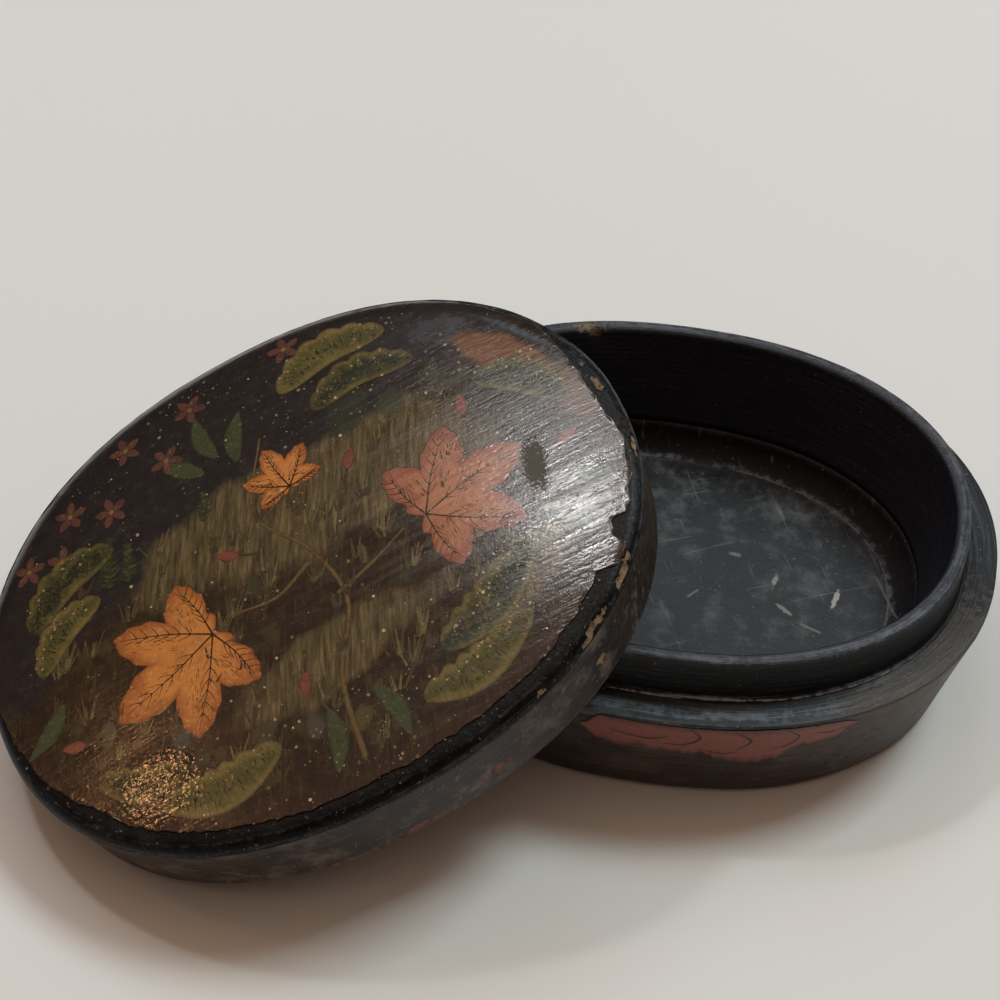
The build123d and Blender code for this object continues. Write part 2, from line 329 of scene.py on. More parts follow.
def skin(rows, turns, point, closed=False):
    """Points in rows round the oval, the faces between them and what is noted at each point.

    point(row, k) gives a point and its notes. A row that starts with 0 is a pole, of one point."""
    points, notes, starts, faces = [], [], [], []
    for row in rows:
        starts.append(len(points))
        for k in range(1 if row[0] == 0 else turns):
            place, *noted = point(row, k)
            points.append(place)
            notes.append(noted)
    count = len(rows)
    for i in range(count if closed else count - 1):
        j = (i + 1) % count
        a, b = starts[i], starts[j]
        for k in range(turns):
            n = (k + 1) % turns
            faces.append((a, b + k, b + n) if rows[i][0] == 0 else (a + k, b, a + n) if rows[j][0] == 0
                         else (a + k, b + k, b + n, a + n))
    return points, faces, *zip(*notes)


def turned(name, rows, turns, place, closed):
    """A shape that follows the oval: rows of (share, inset, height). An open profile starts and ends in a pole."""
    ends = [Vector((share * (HALF_WIDTH - inset), height)) for share, inset, height in rows]
    runs = [0, *accumulate((after - before).length for before, after in zip(ends, ends[1:]))]

    def point(row, k):
        share, inset, height, run = row
        x, y = oval(tau * k / turns, inset)
        return place(x * share, y * share, height) * MM, run

    points, faces, across = skin([(*row, run) for row, run in zip(rows, runs)], turns, point, closed)
    return build(name, points, faces, {"across": across})


def build(name, points, faces, attributes=None, outward=True):
    """A smooth mesh object at the origin, with its faces turned outwards and its point attributes."""
    mesh = bpy.data.meshes.new(name)
    mesh.from_pydata([tuple(p) for p in points], [], faces)
    if outward:
        work = bmesh.new()
        work.from_mesh(mesh)
        bmesh.ops.recalc_face_normals(work, faces=work.faces)
        work.to_mesh(mesh)
        work.free()
    mesh.polygons.foreach_set("use_smooth", [True] * len(mesh.polygons))
    for label, values in (attributes or {}).items():
        layer = mesh.attributes.new(label, "FLOAT", "POINT")
        layer.data.foreach_set("value", np.asarray(values, dtype=np.float32))
    mesh.update()
    made = bpy.data.objects.new(name, mesh)
    bpy.context.scene.collection.objects.link(made)
    return made


def places(thing):
    """A mesh's points and their normals, in mm, as two arrays."""
    mesh = thing.data
    flat = np.empty(len(mesh.vertices) * 3)
    mesh.vertices.foreach_get("co", flat)
    normals = np.empty(len(mesh.vertices) * 3, dtype=np.float32)
    mesh.vertex_normals.foreach_get("vector", normals)
    return flat.reshape(-1, 3) / MM, normals.reshape(-1, 3).astype(float)


def settle(thing, points):
    thing.data.vertices.foreach_set("co", (points * MM).ravel())
    thing.data.update()


def hand_shape(thing, swell, ripple, marks=()):
    """Gives a turned shape the unevenness of pasted and rubbed paper, and its chips.

    swell and ripple are the slow and the fine unevenness in mm. Each mark is
    (point, long direction, half length, half width, depth, label)."""
    points, normals = places(thing)
    slow = np.array([noise.noise(Vector(p) / 19) for p in points])
    fine = np.array([noise.noise(Vector(p) / 2.6 + Vector((7, 3, 1))) for p in points])
    push = np.minimum(swell * (slow - 0.75) / 1.5 + ripple * (fine - 0.75) / 1.5, 0)
    labels = {label: np.zeros(len(points)) for label in ("bare", "raw", "dark")}
    if marks:
        ragged = np.array([noise.noise(Vector(p) / 1.1) + 0.6 * noise.noise(Vector(p) / 0.42) for p in points])
        # a mark with no depth only tints: the lid wall's broad "dark" marks are painted shade
        for centre, along, half_length, half_width, depth, label in marks:
            away = points - np.array(centre)
            run = away @ np.array(along)
            side = np.sqrt(np.maximum((away ** 2).sum(axis=1) - run ** 2, 0))
            reach = np.sqrt((run / half_length) ** 2 + (side / half_width) ** 2) + 0.6 * ragged
            cover = np.clip((1 - reach) / 0.16, 0, 1)
            push = push - depth * cover
            labels[label] = np.maximum(labels[label], cover)
    for label, values in labels.items():
        layer = thing.data.attributes.new(label, "FLOAT", "POINT")
        layer.data.foreach_set("value", values.astype(np.float32))
    settle(thing, points + normals * push[:, None])


# ======== camera, floor and light
def set_up_camera():
    data = bpy.data.cameras.new("camera")
    data.lens, data.sensor_width = LENS_MM, SENSOR_MM
    data.clip_start, data.clip_end = 0.01, 20
    camera = bpy.data.objects.new("camera", data)
    turn = Matrix((CAMERA_RIGHT, -CAMERA_DOWN, -CAMERA_AHEAD)).transposed()
    camera.matrix_world = Matrix.Translation(CAMERA_PLACE * MM) @ turn.to_4x4()
    bpy.context.scene.collection.objects.link(camera)
    bpy.context.scene.camera = camera


def lamp(name, direction, distance, size, power, colour="#FFFFFF"):
    """A soft square lamp that looks at the box from a direction, in metres and watts."""
    data = bpy.data.lights.new(name, "AREA")
    data.size, data.energy, data.color = size, power, paint(colour)[:3]
    made = bpy.data.objects.new(name, data)
    made.location = Vector(direction).normalized() * distance
    made.rotation_euler = (-made.location).to_track_quat("-Z", "Y").to_euler()
    bpy.context.scene.collection.objects.link(made)


def light_the_table():
    """A soft overhead window, a smaller soft panel to the left of it, a weak warm lamp and a dim warm room."""
    world = bpy.data.worlds.new("room")
    bpy.context.scene.world = world
    world.use_nodes = True
    add = partial(node, world.node_tree)
    height = add("POWER", add("SeparateXYZ", add("TexCoord", out="Generated"), out="Z"), 2.5)
    room = add("Mix", height, *[None] * 5, ROOM_LOW, ROOM_HIGH, out=2, data_type="RGBA")
    seen = add("LightPath", out="Is Camera Ray")
    back = world.node_tree.nodes["Background"]
    world.node_tree.links.new(lay_over(add, room, seen, BACKDROP), back.inputs["Color"])
    back.inputs["Strength"].default_value = 1
    for settings in LAMPS:
        lamp(*settings)
    bpy.context.scene.view_settings.view_transform = "Standard"

    table, add, shader, where = start_finish("matt white paper sheet")
    cloud = add("TexNoise", Vector=where, Scale=3)
    wire(shader, add("ValToRGB", cloud, ramp=[(0.3, "#D1D2D0"), (0.7, "#D4D5D3")]), 0.8, None)
    reach = 1.5
    floor = build("table", [(x * reach, y * reach, 0) for x, y in ((-1, -1), (1, -1), (1, 1), (-1, 1))],
                  [(0, 1, 2, 3)], outward=False)
    floor.data.materials.append(table)


# ======== finishes
def start_finish(name):
    """A new finish, what adds a node to it, its shader, and the object's own coordinates."""
    made = bpy.data.materials.new(name)
    made.use_nodes = True
    add = partial(node, made.node_tree)
    where = add("TexCoord", out="Object")
    return made, add, made.node_tree.nodes["Principled BSDF"], where


def in_mm(add, where):
    return add("VectorMath", where, Scale=1 / MM, operation="SCALE")


def lid_plane(add, where):
    """The lid's own coordinates in mm: x along it, y across it, z up from the skirt's lower edge."""
    frame_turn = Matrix((LID_LONG, LID_SIDE, LID_UP)).transposed().to_euler()
    return add("Mapping", where, LID_ORIGIN * MM, frame_turn, (MM, MM, MM), vector_type="TEXTURE")


def wire(shader, colour, roughness, normal, shine=None):
    """Links a shader's colour and normal, links or sets its roughness and sets its shine."""
    for socket, value in (("Base Color", colour), ("Roughness", roughness), ("Normal", normal),
                          ("Specular IOR Level", shine)):
        if isinstance(value, bpy.types.NodeSocket):
            shader.id_data.links.new(value, shader.inputs[socket])
        elif value is not None:
            shader.inputs[socket].default_value = value


def spot(add, local, centre, half_long, half_wide, turn_z, fray, ragged=0.5):
    """A mask, 1 inside a ragged oval mark on a surface: its centre, half sizes in mm and turn in degrees."""
    away = add("VectorMath", local, centre, operation="SUBTRACT")
    turned_back = add("Mapping", away, Rotation=(0, 0, radians(-turn_z)))
    flat = add("VectorMath", turned_back, (1 / half_long, 1 / half_wide, 0), operation="MULTIPLY")
    torn = add("MULTIPLY_ADD", fray, ragged * 2, add("VectorMath", flat, out="Value", operation="LENGTH"))
    return add("MapRange", torn, 0.90 + ragged, 1.08 + ragged * 1.1, 1, 0)


def lay_over(add, under, mask, tint, *span):
    """One colour laid over another where a mask says so; the tint is a hex colour or a colour socket.

    A span (from, to, amount at from, amount at to) makes the mask from any value."""
    if span:
        mask = add("MapRange", mask, *span)
    over = paint(tint) if isinstance(tint, str) else tint
    return add("Mix", mask, *[None] * 5, under, over, out=2, data_type="RGBA")


def lacquer(name, coat, worn, deep, roughness, spread=0.10, streak=0.5, streak_depth=0.02, grain_depth=0.012,
            cloud_mm=16, flecks=0, fleck_tone="#B9B6B0", bare="#8E7458", raw="#8A4F3C", bands=(), shine=0.5,
            scuffs=0, spots=(), fine=4, streak_tone=None):
    """Old brushed lacquer over pasted paper: cloudy tone, brush streaks round the oval, grain, flecks and chips.

    The eye sees a broken black with greyer rubbed places, fine lines that follow the brush and light dust in them.
    Each band (from, to, soft, colour, amount, and maybe roughness) tints a stretch of the cross-section, in mm
    along it; its colour may be a pair, for the far and the near side. Each spot is a ragged mark: centre, half
    sizes, turn, raggedness, colour, amount."""
    made, add, shader, where = start_finish(name)
    mm = in_mm(add, where)
    across = add("Attribute", attribute_name="across", out="Fac")
    cloud = add("TexNoise", Vector=mm, Scale=1 / cloud_mm, Detail=7, Roughness=0.68)
    colour = add("ValToRGB", cloud, ramp=[(0.36, deep), (0.5, coat), (0.68, worn)])
    split = add("SeparateXYZ", mm).node.outputs
    brush_way = add("CombineXYZ", *[add("MULTIPLY", split[i], SLOW_BRUSH) for i in (0, 1)],
                    add("MULTIPLY", across, QUICK_BRUSH))
    brush = add("TexNoise", Vector=brush_way, Scale=1, Detail=5, Roughness=0.7)
    fray = add("TexNoise", Vector=mm, Scale=0.6, Detail=5, Roughness=0.65)
    frayed = add("MULTIPLY_ADD", fray, 2 * FRAY_MM, across)
    uneven = add("MULTIPLY_ADD", brush, 1.3, fray)
    break_up = add("MapRange", uneven, 1.08, 1.28)
    # a paired band takes its second colour on the near side; every pair in this script makes that near copy lighter,
    # as painted sheen
    near = add("MapRange", split["Y"], -22, -38)
    dull_places = []
    for begin, finish, soft, tint, amount, *dullness in bands:
        if isinstance(tint, tuple):
            tint = lay_over(add, paint(tint[0]), near, tint[1])
        up = add("MapRange", frayed, begin + FRAY_MM - soft, begin + FRAY_MM + soft)
        down = add("MapRange", frayed, finish + FRAY_MM - soft, finish + FRAY_MM + soft, amount, 0)
        both = add("MULTIPLY", up, down)
        if finish - begin < BROKEN_BAND:
            both = add("MULTIPLY", both, break_up)
        colour = lay_over(add, colour, both, tint)
        dull_places += [(both, roughly) for roughly in dullness]
    for *mark, ragged, tint, amount in spots:
        mask = add("MULTIPLY", spot(add, mm, *mark, fray, ragged), amount)
        colour = lay_over(add, colour, mask, tint)
    colour = lay_over(add, colour, brush, streak_tone or worn, 0.5, 0.78, 0, streak)
    if scuffs:
        for turn_z, tall in ((62, 0.05), (-25, 0.07)):
            way = add("Mapping", mm, Rotation=(0, 0, radians(turn_z)))
            thin = add("VectorMath", way, (0.9, tall, 0.3), operation="MULTIPLY")
            mark = add("TexNoise", Vector=thin, Scale=1)
            colour = lay_over(add, colour, mark, fleck_tone, 0.66, 0.78, 0, scuffs)
    dust = add("TexNoise", Vector=mm, Scale=1.7, Detail=3, Roughness=0.6)
    colour = lay_over(add, colour, dust, fleck_tone, 0.66, 0.74, 0, flecks)
    roughness_now = add("MapRange", cloud, 0.3, 0.7, roughness - spread, roughness + spread)
    for mask, roughly in dull_places:
        roughness_now = add("Mix", mask, None, roughness_now, roughly)
    # "bare" and "raw" marks show the paper; "dark" marks show dark chips and, on the lid wall, painted shade
    for label, tint, patch_roughness in (("bare", bare, 0.85), ("raw", raw, 0.6), ("dark", "#17130F", 0.7)):
        chipped = add("Attribute", attribute_name=label, out="Fac")
        grit = add("TexNoise", Vector=mm, Scale=2.8, Detail=5, Roughness=0.7)
        reach = add("ADD", chipped, add("MULTIPLY_ADD", grit, 1.3, -0.68))
        mask = add("MapRange", reach, 0.45, 0.62)
        torn = lay_over(add, paint(tint), add("MapRange", fray, 0.42, 0.66), "#3E2E1E")
        colour = lay_over(add, colour, mask, torn)
        roughness_now = add("Mix", mask, None, roughness_now, patch_roughness)
    grain = add("TexNoise", Vector=mm, Scale=1.3, Detail=fine, Roughness=0.6)
    normal = None
    for height, depth in ((grain, grain_depth), (brush, streak_depth)):
        normal = add("Bump", Height=height, Distance=depth * MM * 4, Normal=normal)
    wire(shader, colour, roughness_now, normal, shine)
    return made


def varnish(add, shader, local, colour):
    """The lid's old clear varnish over a pigment: long brush streaks down the lid, crackle, grain and pale dust.

    The eye sees one skin over ground and motifs: its streaks and fine crackle break the shine into short dashes."""
    stretch = add("Mapping", local, Scale=(0.055, 0.9, 0.4))
    streaks = add("TexNoise", Vector=stretch, Scale=1)
    ridge = add("Mapping", local, Scale=(0.75, 2.3, 1))
    dashes = add("TexNoise", Vector=ridge, Scale=1, Detail=1.5)
    grit = add("TexNoise", Vector=local, Scale=2.7, Detail=1)
    dirt = add("TexNoise", Vector=local, Scale=2.4, Detail=4, Roughness=0.6)
    cells = add("TexVoronoi", Vector=stretch, Scale=2, feature="DISTANCE_TO_EDGE")
    colour = lay_over(add, colour, dirt, "#9A9082", 0.69, 0.75, 0, 0.35)
    roughness = add("MapRange", streaks, 0.32, 0.68, VARNISH_SMOOTH, VARNISH_DULL)
    glitter = spot(add, local, *GLITTER, dirt, 0.5)
    roughness = add("Mix", glitter, None, roughness, GLITTER_ROUGHNESS)
    gone = spot(add, local, *BARE_PLACE, dirt, BARE_RAGGED)
    roughness = add("Mix", gone, None, roughness, BARE_ROUGHNESS)
    grains = add("TexVoronoi", Vector=local, Scale=1.5, feature="SMOOTH_F1")
    beads = add("MULTIPLY", grains, glitter)
    split = add("MapRange", cells, 0, 0.03)
    normal = None
    for height, depth, strength in ((beads, GLITTER_DEPTH, 1), (streaks, STREAK_DEPTH, 1),
                                    (dashes, DASH_DEPTH, 1), (grit, GRIT_DEPTH, 1),
                                    (split, CRACKLE_DEPTH, 0.4)):
        normal = add("Bump", Height=height, Strength=strength, Distance=depth * MM, Normal=normal)
    wire(shader, colour, roughness, normal, VARNISH_SHINE)


def picture_ground():
    """Tempera ground under varnish: a near-black sky, brown earth with dragged dry-brush marks and a grassy knoll,
    a brown border, hazy dabs, an orange-brown shoulder at the lid's end and one place where the film is gone."""
    made, add, shader, where = start_finish("painted ground, tempera under old varnish")
    local = lid_plane(add, where)
    split = add("SeparateXYZ", local).node.outputs
    drift = add("TexNoise", Vector=local, Scale=0.055, Detail=5, Roughness=0.6)
    dabs = add("TexNoise", Vector=local, Scale=0.45, Detail=6, Roughness=0.7)
    blots = add("TexNoise", Vector=local, Scale=0.16, Detail=4, Roughness=0.6)
    upright = add("Mapping", local, Rotation=(0, 0, radians(90 - UPRIGHT)))
    dry_way = add("Mapping", upright, Scale=(1.5, 0.16, 1))
    dry = add("TexNoise", Vector=dry_way, Scale=1, Detail=5, Roughness=0.7)
    earth = add("ValToRGB", dabs, ramp=[(0.3, "#140C07"), (0.5, "#22160B"), (0.72, "#3A2A15")])
    for layer in ((dry, "#584829", 0.54, 0.74, 0, 0.5),         # blades dragged with a dry brush
                  (blots, "#3A3A24", 0.54, 0.66, 0, 0.55),      # moss
                  (blots, "#150E0A", 0.34, 0.46, 0.6, 0)):      # gloom
        earth = lay_over(add, earth, *layer)
    night = add("ValToRGB", dabs, ramp=[(0.3, "#121113"), (0.55, "#1D1A1B"), (0.8, "#332F2D")])
    line = add("MULTIPLY_ADD", drift, 26, split["Y"])
    tilt = add("MULTIPLY_ADD", split["X"], -0.22, line)
    colour = lay_over(add, earth, tilt, night, 22, 27)
    grass = add("ValToRGB", dry, ramp=[(0.35, "#332918"), (0.54, "#5C4F32"), (0.76, "#867550")])
    for *mark, ragged, tint in GROUND_PATCHES:
        soft = add("MULTIPLY", spot(add, local, *mark, drift, ragged), 0.8)
        colour = lay_over(add, colour, soft, tint or grass)
    rim = add("Attribute", attribute_name="edge", out="Fac")
    wander = add("MULTIPLY_ADD", dabs, 3, rim)
    border = add("MapRange", wander, 5.2, 7.6, 0.85, 0)
    brown = add("ValToRGB", dry, ramp=[(0.3, "#1C0F0A"), (0.6, "#331D12"), (0.8, "#4C2E1A")])
    dark_side = add("MapRange", split["Y"], -16, 0, 1, 0.12)
    colour = lay_over(add, colour, add("MULTIPLY", border, dark_side), brown)
    for *mark, ragged, tint in LATE_PATCHES + ((*BARE_PLACE, BARE_RAGGED, "#3C3428"),):
        dab = add("MULTIPLY", spot(add, local, *mark, dabs, ragged), 0.85)
        colour = lay_over(add, colour, dab, tint)
    # pale along the film's torn edge: partly torn paint, partly a painted highlight along the lifted lip
    torn = add("Attribute", attribute_name="torn", out="Fac")
    frayed = add("MULTIPLY_ADD", dabs, 0.9, torn)
    colour = lay_over(add, colour, frayed, "#8E8376", 1, 1.2, 0, 0.8)
    varnish(add, shader, local, colour)
    return made


def pigment(name, heart, body, edge, outline=None, ribs=0, rib_tone="#2A1A10", rubbed_tone="#7E7448"):
    """Opaque tempera laid with a small brush under the varnish: lighter in its middle, darker where it was worked
    to the edge, mottled, with a thin drawn outline and fine ribs where the form has them."""
    made, add, shader, where = start_finish(name)
    local = lid_plane(add, where)
    inner, along = [add("Attribute", attribute_name=label, out="Fac") for label in ("inner", "along")]
    mottle = add("TexNoise", Vector=local, Scale=0.55, Detail=6, Roughness=0.7)
    depth = add("MULTIPLY", inner, 0.62 if ribs else 1)
    shift = add("MULTIPLY_ADD", mottle, 0.9, depth)
    low, middle = (0.50, 0.82) if ribs else (0.36, 0.72)
    colour = add("ValToRGB", shift, ramp=[(low, edge), (middle, body), (1, heart)])
    stain = add("TexNoise", Vector=local, Scale=0.28, Detail=3, Roughness=0.6)
    colour = lay_over(add, colour, stain, edge, 0.5, 0.68, 0, 0.5)
    if ribs:
        wave = add("SINE", add("MULTIPLY", along, ribs * tau))
        colour = lay_over(add, colour, wave, rib_tone, 0.55, 0.95, 0, 0.2)
    if outline:
        brink = add("Attribute", attribute_name="brink", out="Fac")
        low, high = (0.04, 0.6) if ribs else (0.16, 0.34)
        colour = lay_over(add, colour, brink, outline, low, high, 0.8, 0)
    pale = add("TexNoise", Vector=local, Scale=1.6, Detail=3)
    colour = lay_over(add, colour, pale, rubbed_tone, 0.57, 0.76, 0, 0.45)
    varnish(add, shader, local, colour)
    return made


# ======== the box
def on_wall(turn, height, lift=0):
    """A point of the box's leaning outer wall; turn in degrees, height and lift in mm."""
    x, y = oval(radians(turn), WALL_LEAN * (1 - height / WALL_HEIGHT) - lift)
    return Vector((x, y, height))


def on_skirt(turn, height):
    """A point of the lid's outer side."""
    inset = SKIRT_FOOT_INSET + (SKIRT_TOP_INSET - SKIRT_FOOT_INSET) * height / SKIRT_HEIGHT
    return on_lid(*oval(radians(turn), inset), height)


def make_box():
    """The box's three pieces: its leaning wall, its dished floor and the collar that stands above the ledge."""
    wall = soften([(1, WALL_LEAN, 0, FOOT_ROUND), (1, 0, WALL_HEIGHT, LEDGE_ROUND),
                   (1, WALL_THICKNESS, WALL_HEIGHT, 0), (1, WALL_LEAN + WALL_THICKNESS, 0, 0)], True)
    piece = turned("box_wall", wall, 720, on_base, True)
    hand_shape(piece, 0.25, 0.05, marks=[(on_wall(turn, height), (1, 0, 0), long, wide, 0.12, "bare")
                                         for turn, height, long, wide in WALL_NICKS])
    piece.data.materials.append(lacquer(
        "side wall, worn brown-black lacquer over painted paper", "#32241F", "#54463D", "#1B1312", 0.44,
        streak=0.65, streak_tone="#575A5C", streak_depth=0.05, cloud_mm=9, flecks=0.4, fine=5, shine=0.28,
        # each paired band's lighter, bluer near colour is painted sheen: the near ledge and its inner corner coloured
        # as if lit by reflected light; the tan line at 24.1 to 24.9 is the crumbled outer edge
        bands=[(0, 4, 1.5, "#351A15", 0.7), (24.3, 34, 0.3, ("#121518", "#24292E"), 1),
               (24.1, 24.9, 0.2, "#7C6E64", 0.9), (27, 29.5, 0.4, ("#20242A", "#596169"), 0.9),
               (25.1, 26.5, 0.3, ("#1E2226", "#42494F"), 0.85)],
        # two lighter grey-taupe marks on the wall's right front: painted sheen where that side catches the light
        spots=[((50, -24, 12), 15, 12, 62, 2.6, "#4E463F", 0.55),
               ((38, -38, 12), 9, 5, 40, 2.6, "#4A403A", 0.5)]))
    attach(piece, "box"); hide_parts("base_wall")

    foot = WALL_LEAN + WALL_THICKNESS
    rim_inset = foot - WALL_LEAN * DISH_RIM / WALL_HEIGHT
    cove = [(1, FLOOR_LEAN_INSET - 0.7 + FLOOR_COVE * (1 - cos(radians(angle))),
             FLOOR_TOP + FLOOR_COVE * (1 - sin(radians(angle))), 0) for angle in range(0, 91, 10)]
    floor = soften([(0, 0, 0, 0), (1, foot, 0, 0), (1, rim_inset, DISH_RIM, 0), (1, DISH_RIM_INSET, DISH_RIM, 0),
                    *cove, (0.9, FLOOR_LEAN_INSET + 3.3, FLOOR_TOP, 0), (0, 0, FLOOR_TOP, 0)], False)
    piece = turned("box_floor", floor, 360, on_base, False)
    hand_shape(piece, 0.12, 0.03)
    piece.data.materials.append(lacquer(
        "inside floor, rubbed charcoal lacquer", "#131517", "#424647", "#07080A", 0.46, spread=0.12, shine=0.34,
        # the near-black, dull band over the dish's inner side and cove is painted shade in the crease; the pale grey
        # line at its foot is a painted highlight
        bands=[(53, 60.8, 1.8, "#06080C", 0.95, 0.9), (60, 61.2, 0.4, "#70747A", 0.5)],
        streak=0, streak_depth=0, cloud_mm=5.5, flecks=0.6, fleck_tone="#767C7B", scuffs=0.4,
        spots=[(*mark, 1.7, tint, 1) for *mark, tint in FLOOR_SCUFFS]))
    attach(piece, "box"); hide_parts("base_floor")

    foot_cove = [(1, COLLAR_OUTER - COLLAR_COVE * (1 - sin(radians(angle))),
                  WALL_HEIGHT - 0.02 + COLLAR_COVE * (1 - cos(radians(angle))), 0)
                 for angle in (0, 22.5, 45, 67.5, 90)]
    collar = soften([(1, rim_inset, DISH_RIM, 0), (1, COLLAR_OUTER + 0.3, WALL_HEIGHT - 0.6, 0), *foot_cove,
                     (1, COLLAR_OUTER, RIM_HEIGHT, RIM_ROUND), (1, COLLAR_INNER, RIM_HEIGHT, RIM_ROUND),
                     (1, DISH_RIM_INSET, DISH_RIM, 0)], True)
    piece = turned("box_collar", collar, 720, on_base, True)
    hand_shape(piece, 0.15, 0.05, marks=[COLLAR_CHIP])
    piece.data.materials.append(lacquer(
        "collar, brushed black lacquer rubbed grey at its rim", "#08090B", "#131518", "#050506", 0.38,
        streak=0.4, streak_tone="#3C4046", streak_depth=0.05, cloud_mm=14, flecks=0.25, shine=0.28,
        # the pale blue-grey near colour at 10.6 to 12 is a painted highlight along the collar's foot cove; the grey
        # bands at 19.4 to 22.4 are rubbed grey wear on the rim top and also a painted highlight along it
        bands=[(10.6, 12, 0.3, ("#15171A", "#A2ACB6"), 0.95), (19.4, 22.4, 0.9, "#2E3239", 0.75),
               (20.2, 21.8, 0.4, "#62666C", 0.6), (23.2, 60, 1, "#1F2029", 0.8)], bare="#6E6350"))
    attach(piece, "box"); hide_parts("inner_collar")


# ======== the lid
def along_rim(turn):
    """The lid's own edge direction at a turn in degrees."""
    ahead, behind = oval(radians(turn + 1)), oval(radians(turn - 1))
    return tuple((LID_LONG * (ahead[0] - behind[0]) + LID_SIDE * (ahead[1] - behind[1])).normalized())


def make_lid():
    """The lid's ring-shaped wall and its panel."""
    skirt = soften([(1, 1.5, 0, 0.5), (1, SKIRT_FOOT_INSET, 0.7, 0.3), (1, SKIRT_TOP_INSET, SKIRT_HEIGHT, 0),
                    (1, SKIRT_BORE, SKIRT_HEIGHT, 0), (1, SKIRT_BORE, 0, 0.5)], True)
    piece = turned("lid_wall", skirt, 720, on_lid, True)
    hand_shape(piece, 0.2, 0.06, marks=[(on_skirt(turn, height), along_rim(turn), *rest)
                                        for turn, height, *rest in SKIRT_MARKS])
    piece.data.materials.append(lacquer(
        "lid wall, rubbed grey-brown lacquer", "#2E2725", "#6A5E57", "#1B1614", 0.42, shine=0.3,
        streak=0.5, cloud_mm=6, flecks=0.7, scuffs=0.3, fleck_tone="#A29A92", raw="#7E5446",
        bands=[(0.6, 3, 1, "#4A2E24", 0.5), (0, 0.8, 0.3, "#6A5448", 0.5)]))
    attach(piece, "lid"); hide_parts("lid_skirt")
    make_panel()


def make_panel():
    """The lid's domed top: flat underside with its spigot, a rolled black rim and the black ground of the picture."""
    turns = 1440
    rows = soften([(0, 0, SPIGOT_FOOT, 0), (1, SKIRT_BORE, SPIGOT_FOOT, 0.3), (1, SKIRT_BORE, SKIRT_HEIGHT, 0),
                   (1, 1.6, SKIRT_HEIGHT, 0)], False)
    rows += [("roll", angle) for angle in (-50, -25, 0, 12, 24, 36, 47, 57, 66, 74, 82, 90)]
    rows += [("in", step) for step in (0.6, 1.3, 2.2, 3.3, 4.6)]
    rows += [(share, 0, None) for share in (0.84, 0.78, 0.68, 0.56, 0.42, 0.28, 0.14, 0)]

    def point(row, k):
        kind, step, *rest = row
        turn = 360 * k / turns
        side, wide, deep = edge_of(far_side(turn))
        if kind == "roll":
            run = 1 - cos(radians(step))
            inset = side + (PANEL_TUCK if step < 0 else wide) * run
        else:
            inset = side + wide + step if kind == "in" else step
        x, y = oval(radians(turn), inset)
        if kind == "roll" and step < 0:
            height = SKIRT_HEIGHT + 0.7 * (1 + sin(radians(step)))
        elif kind == "roll":
            height = max(dome_height(x, y, turn, inset) - GROUND_DROP, SKIRT_HEIGHT + 0.8)
        elif kind == "in":
            height = dome_height(x, y, turn, inset) - GROUND_DROP
        else:
            x, y = x * kind, y * kind
            height = rest[0] if rest[0] is not None else dome_height(x, y) - GROUND_DROP
        return on_lid(x, y, height) * MM, (
            10 + step * 0.04 if kind == "roll" else 13.6 + step if kind == "in" else
            0 if rest[0] is not None else 20 + 30 * (1 - kind))

    points, faces, across = skin(rows, turns, point)
    piece = build("lid_top", points, faces, {"across": across})
    hand_shape(piece, 0.08, 0.07, marks=[(on_lid(*oval(radians(turn), inset), height), along_rim(turn), *rest)
                                         for turn, inset, height, *rest in RIM_MARKS])
    piece.data.materials.append(lacquer(
        "lid edge, thick black lacquer with painted highlight lines", "#060708", "#16191B", "#030304", 0.36,
        streak=0.25, cloud_mm=5, flecks=0.5, bare="#857056", raw="#8A5A38", shine=0.14, grain_depth=0.03,
        # two broken grey lines along the rolled rim, low on its side and near its top: painted highlight lines
        bands=[(10.5, 11.3, 0.3, "#43474B", 0.7), (12.6, 13.1, 0.2, "#33363A", 0.6)]))
    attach(piece, "lid"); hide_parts("lid_panel")


def film_edge(turn):
    """How far in from the outline the painted film ends, in mm, at a turn in degrees."""
    for (a, inset_a), (b, inset_b) in zip(FILM_EDGE, FILM_EDGE[1:]):
        if a <= turn <= b:
            base = inset_a + (inset_b - inset_a) * (turn - a) / (b - a)
            break
    way = Vector((cos(radians(turn)), sin(radians(turn)), 0))
    return base + 0.5 * noise.noise(way * 14) + 0.3 * noise.noise(way * 40) + 0.08 * noise.noise(way * 130)


def tear_and_highlight_at(turn):
    """How torn and pale the film's edge is at a turn in degrees, 0 to 1; the paleness is partly torn paint and partly
    a painted highlight along the lifted lip.
    """
    return max(strength * max(0, 1 - abs((turn - at + 180) % 360 - 180) / reach)
               for at, reach, strength in TORN_AND_LIT_PLACES)


